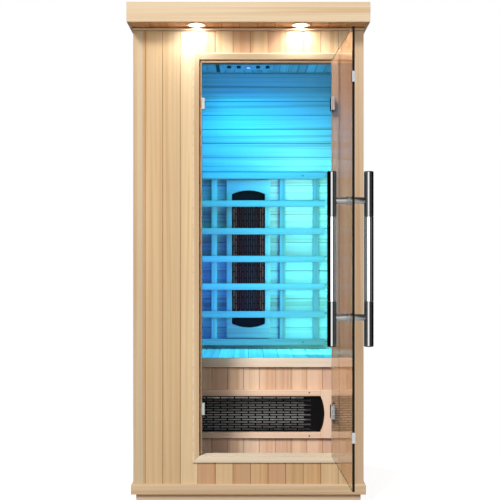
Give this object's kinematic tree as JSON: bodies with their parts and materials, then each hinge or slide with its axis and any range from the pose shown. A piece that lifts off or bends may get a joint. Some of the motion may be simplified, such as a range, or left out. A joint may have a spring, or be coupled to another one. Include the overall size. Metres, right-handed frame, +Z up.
{
  "type": "infrared sauna cabin",
  "caption": "Free-standing softwood infrared sauna cabin with a hinged glass door, bench, slatted backrest, grilled heaters and an overhanging roof with downlights.",
  "frame": {"origin": "on the ground at the centre of the base frame", "axes": "+Z up, -Y out of the front wall, +X to the right of someone facing the front, which is the hinge side"},
  "size_m": [0.9, 1.3201, 1.9],
  "materials": {
    "hemlock": "satin, clear vertical grain",
    "lining_hemlock": "sanded, uncoated",
    "rough_batten": "sawn",
    "clear_glass": "clear toughened",
    "chrome": "polished",
    "steel": "satin",
    "black_steel": "black powder coat",
    "ceramic": "fired ceramic",
    "lamp_lens": "frosted",
    "black_plastic": "fine texture",
    "pale_plastic": "satin moulded"
  },
  "bodies": {
    "cabin": {"base_frame": "rough_batten", "floor_deck": "lining_hemlock", "skirting": "hemlock", "left_wall_frame": "hemlock", "right_wall_frame": "hemlock", "back_wall_frame": "rough_batten", "front_frame": "hemlock", "front_boards_left": "hemlock", "front_boards_right": "hemlock", "front_boards_head": "hemlock", "front_boards_sill": "hemlock", "left_cladding": "hemlock", "right_cladding": "hemlock", "back_cladding": "hemlock", "front_lining": "lining_hemlock", "left_lining": "lining_hemlock", "right_lining": "lining_hemlock", "back_lining": "lining_hemlock", "door_architrave": "hemlock", "ceiling_left": "lining_hemlock", "ceiling_strip": "lining_hemlock", "ceiling_right": "lining_hemlock", "roof_deck": "rough_batten", "fascia_front": "hemlock", "fascia_left": "hemlock", "fascia_right": "hemlock", "fascia_back": "hemlock", "soffit": "hemlock", "downlight_left_bezel": "chrome", "downlight_right_bezel": "chrome", "downlight_left_lens": "lamp_lens", "downlight_right_lens": "lamp_lens", "ceiling_light": "pale_plastic", "control_box": "black_plastic", "bench_top": "lining_hemlock", "bench_front_rail": "lining_hemlock", "bench_riser": "lining_hemlock", "backrest": "lining_hemlock", "hinge_upper_leaf": "chrome", "catch_upper_magnet": "pale_plastic", "hinge_lower_leaf": "chrome", "catch_lower_magnet": "pale_plastic", "foot_heater_frame": "lining_hemlock", "foot_heater_grille": "black_steel", "foot_heater_tray": "steel", "foot_heater_element": "ceramic", "back_heater_frame": "lining_hemlock", "back_heater_grille": "black_steel", "back_heater_tray": "steel", "back_heater_element": "ceramic"},
    "door": {"door_glass": "clear_glass", "handle_outer_tube": "chrome", "handle_inner_tube": "chrome", "handle_upper_post": "chrome", "handle_lower_post": "chrome", "hinge_upper_clamp": "chrome", "hinge_lower_clamp": "chrome", "catch_upper_clip": "steel", "catch_lower_clip": "steel"},
    "vent": {"vent_slide": "lining_hemlock"}
  },
  "joints": [
    {"name": "door_swing", "type": "hinge", "parent": "cabin", "child": "door", "pos_m": [0.328, -0.39985, 0.95], "axis": [0, 0, 1], "range_deg": [-92.3, 27.7]},
    {"name": "vent_travel", "type": "slide", "parent": "cabin", "child": "vent", "axis": [1, 0, 0], "range_m": [-0.015, 0]}
  ]
}
